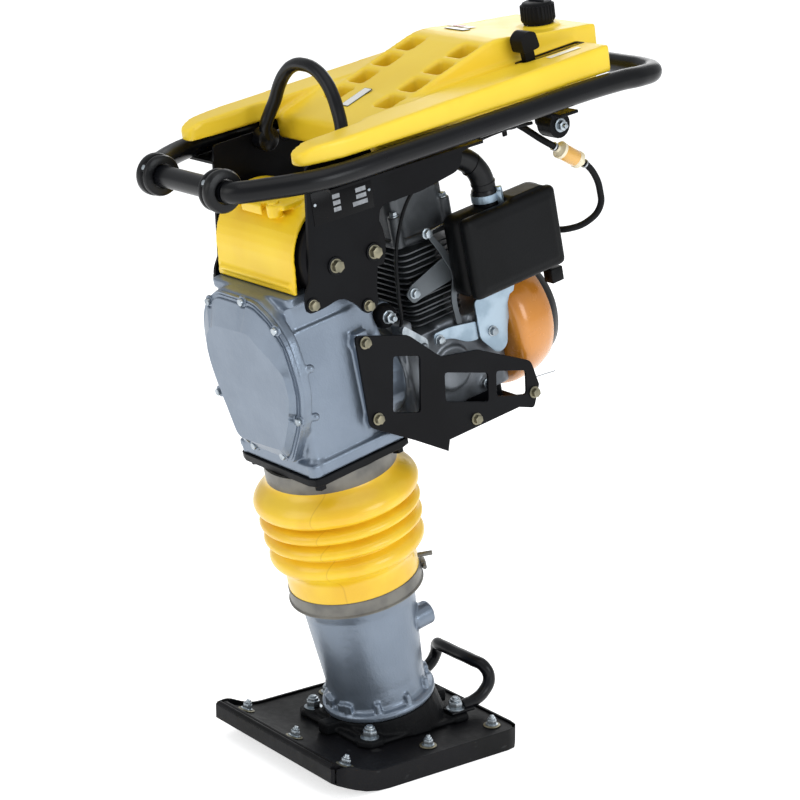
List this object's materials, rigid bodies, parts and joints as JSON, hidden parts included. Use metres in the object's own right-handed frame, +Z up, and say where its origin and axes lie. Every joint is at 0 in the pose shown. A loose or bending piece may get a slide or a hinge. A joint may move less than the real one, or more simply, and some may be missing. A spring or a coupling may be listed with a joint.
{
  "type": "tamping rammer",
  "caption": "Upright petrol tamping rammer: leaning leg with bellows on a flat shoe, gear case with a small engine behind, loop handle and moulded fuel tank on top.",
  "frame": {"origin": "centre of the sole's flat face, on the ground", "axes": "+Z up, -Y the travel direction, +X the operator's left; the leg leans 12.7 degrees towards -Y"},
  "size_m": [0.366, 0.7531, 1.0927],
  "materials": {
    "yellow_plastic": "satin moulded plastic",
    "bellows_plastic": "satin moulded polyurethane",
    "silver_casting": "silver painted casting",
    "black_paint": "semi-gloss black paint",
    "black_plastic": "moulded black plastic",
    "black_rubber": "moulded rubber",
    "bright_steel": "machined or zinc plated steel",
    "dark_casting": "bare engine casting",
    "foot_iron": "black painted casting",
    "fan_orange": "orange painted sheet",
    "filter_plastic": "clear amber plastic",
    "shoe_core": "black sealed laminated wood"
  },
  "bodies": {
    "foot": {"sole_plate": "black_paint", "shoe_core": "shoe_core", "foot_flange": "foot_iron", "foot_handle": "black_paint", "spring_cylinder": "silver_casting", "lower_band": "bright_steel", "bellows": "bellows_plastic", "lower_spring": "bright_steel", "upper_spring": "bright_steel"},
    "machine": {"upper_band": "bright_steel", "guide_cylinder": "bright_steel", "flange_plate": "black_paint", "crankcase": "silver_casting", "gear_cover": "silver_casting", "cleaner_drum": "black_plastic", "top_cover": "yellow_plastic", "rubber_mount_left": "black_rubber", "rubber_mount_right": "black_rubber", "bracket_left": "black_paint", "bracket_right": "black_paint", "engine_block": "dark_casting", "cylinder": "dark_casting", "rocker_cover": "dark_casting", "fan_housing": "fan_orange", "recoil_cover": "black_paint", "carburettor": "dark_casting", "air_box": "black_plastic", "air_box_cover": "black_plastic", "intake_elbow": "black_rubber", "muffler": "dark_casting", "guard_left": "black_paint", "guard_right": "black_paint", "guard_cross": "black_paint", "handle_tube": "black_paint", "lifting_hook": "black_paint", "fuel_tank": "yellow_plastic", "lever_bracket": "black_plastic", "throttle_cable": "black_rubber", "fuel_cock": "bright_steel", "upper_fuel_hose": "black_rubber", "fuel_filter": "filter_plastic", "lower_fuel_hose": "black_rubber"},
    "ram": {"piston_rod": "bright_steel", "ram_piston": "bright_steel"},
    "crank": {"crank_gear": "bright_steel"},
    "con_rod": {"connecting_rod": "bright_steel"},
    "pinion": {"pinion_shaft": "bright_steel", "clutch_drum": "bright_steel"},
    "engine_crank": {"engine_crankshaft": "bright_steel", "flywheel": "dark_casting", "clutch_hub": "dark_casting"},
    "starter": {"starter_grip": "black_plastic"},
    "choke": {"choke_lever": "bright_steel"},
    "governor": {"governor_arm": "bright_steel"},
    "throttle": {"throttle_lever": "black_plastic"},
    "cap_lift": {"cap_seal": "black_rubber"},
    "cap": {"fuel_cap": "black_plastic"},
    "front_roller_left": {"roller_left": "black_plastic"},
    "front_roller_right": {"roller_right": "black_plastic"},
    "fuel_valve": {"cock_lever": "black_plastic"}
  },
  "joints": [
    {"name": "ram_stroke", "type": "slide", "parent": "foot", "child": "machine", "axis": [0, -0.2206, 0.9754], "range_m": [0, 0.05], "deforming": ["bellows", "lower_spring", "upper_spring"]},
    {"name": "ram_piston_stroke", "type": "slide", "parent": "machine", "child": "ram", "axis": [0, -0.2206, 0.9754], "range_m": [-0.02, 0.02], "deforming": ["lower_spring", "upper_spring"]},
    {"name": "crank_turn", "type": "hinge", "parent": "machine", "child": "crank", "pos_m": [0, -0.12219, 0.63399], "axis": [0, 0.9754, 0.2206], "continuous": true},
    {"name": "con_rod_turn", "type": "hinge", "parent": "crank", "child": "con_rod", "pos_m": [0, -0.11778, 0.61448], "axis": [0, 0.9754, 0.2206], "continuous": true},
    {"name": "pinion_turn", "type": "hinge", "parent": "machine", "child": "pinion", "pos_m": [0, -0.04426, 0.56139], "axis": [0, 0.9754, 0.2206], "continuous": true},
    {"name": "engine_turn", "type": "hinge", "parent": "machine", "child": "engine_crank", "pos_m": [0, 0.09229, 0.59227], "axis": [0, 0.9754, 0.2206], "continuous": true},
    {"name": "starter_pull", "type": "slide", "parent": "machine", "child": "starter", "axis": [-0.7071, -0.156, 0.6897], "range_m": [0, 0.035], "stiffness_N_per_m": 150},
    {"name": "choke_turn", "type": "hinge", "parent": "machine", "child": "choke", "pos_m": [0.043, 0.16299, 0.71488], "axis": [-1, 0, 0], "range_deg": [0, 55]},
    {"name": "throttle_turn", "type": "hinge", "parent": "machine", "child": "throttle", "pos_m": [0.11, 0.21613, 0.92931], "axis": [-1, 0, 0], "range_deg": [0, 30]},
    {"name": "governor_turn", "type": "hinge", "parent": "machine", "child": "governor", "pos_m": [0.068, 0.03558, 0.61636], "axis": [-1, 0, 0], "range_deg": [0, 10.5]},
    {"name": "cap_lift", "type": "slide", "parent": "machine", "child": "cap_lift", "axis": [0, -0.1597, 0.9872], "range_m": [0, 0.04]},
    {"name": "cap_turn", "type": "hinge", "parent": "cap_lift", "child": "cap", "pos_m": [0.035, 0.26778, 1.07341], "axis": [0, -0.1597, 0.9872], "continuous": true},
    {"name": "roller_left_turn", "type": "hinge", "parent": "machine", "child": "front_roller_left", "pos_m": [0.078, -0.30854, 0.87885], "axis": [1, 0, 0], "continuous": true},
    {"name": "roller_right_turn", "type": "hinge", "parent": "machine", "child": "front_roller_right", "pos_m": [-0.078, -0.30854, 0.87885], "axis": [1, 0, 0], "continuous": true},
    {"name": "fuel_valve_turn", "type": "hinge", "parent": "machine", "child": "fuel_valve", "pos_m": [0.062, 0.18237, 0.92842], "axis": [1, 0, 0], "range_deg": [0, 90]}
  ],
  "couplings": [
    {"joint": "con_rod_turn", "follows": "crank_turn", "ratio": -1},
    {"joint": "pinion_turn", "follows": "crank_turn", "ratio": -3},
    {"joint": "governor_turn", "follows": "throttle_turn", "ratio": 0.35}
  ]
}
